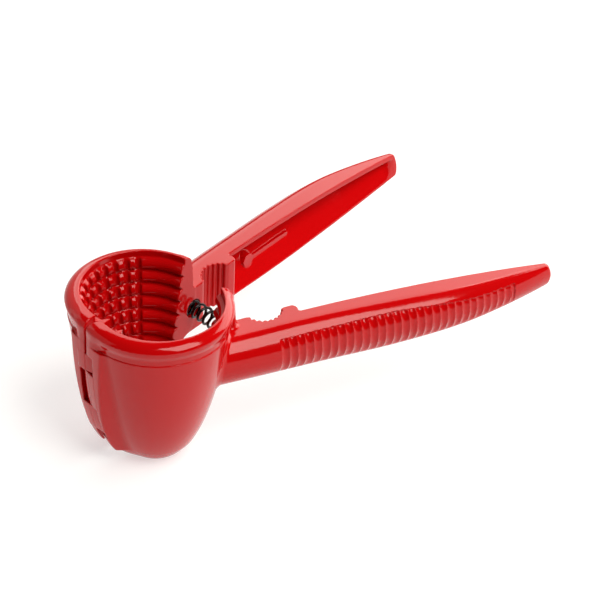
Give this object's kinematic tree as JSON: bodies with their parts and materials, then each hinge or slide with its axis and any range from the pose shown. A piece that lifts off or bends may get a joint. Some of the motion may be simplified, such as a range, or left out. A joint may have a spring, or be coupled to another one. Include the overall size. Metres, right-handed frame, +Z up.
{
  "type": "nutcracker",
  "caption": "Hand-held nutcracker: two hinged half-cups with ribbed walls, each with a fluted handle, held open by a coil spring.",
  "frame": {"origin": "bottom centre of the bounding box of the open nutcracker, on the plane the cup's foot stands on", "axes": "+Z up along the hinge pin, +X from the hinge along the plane midway between the handles, +Y towards the rear half"},
  "size_m": [0.1744, 0.0938, 0.0615],
  "materials": {
    "red_paint": "gloss",
    "pin_steel": "satin",
    "spring_steel": "satin"
  },
  "bodies": {
    "rear_body": {"rear_half": "red_paint", "hinge_pin": "pin_steel", "return_spring": "spring_steel"},
    "front_body": {"front_half": "red_paint"}
  },
  "joints": [
    {"name": "handle_hinge", "type": "hinge", "parent": "rear_body", "child": "front_body", "pos_m": [-0.07668, 0, 0], "axis": [0, 0, 1], "range_deg": [0, 26], "stiffness_Nm_per_rad": 2, "springref_deg": -10.31, "deforming": ["return_spring"]}
  ]
}
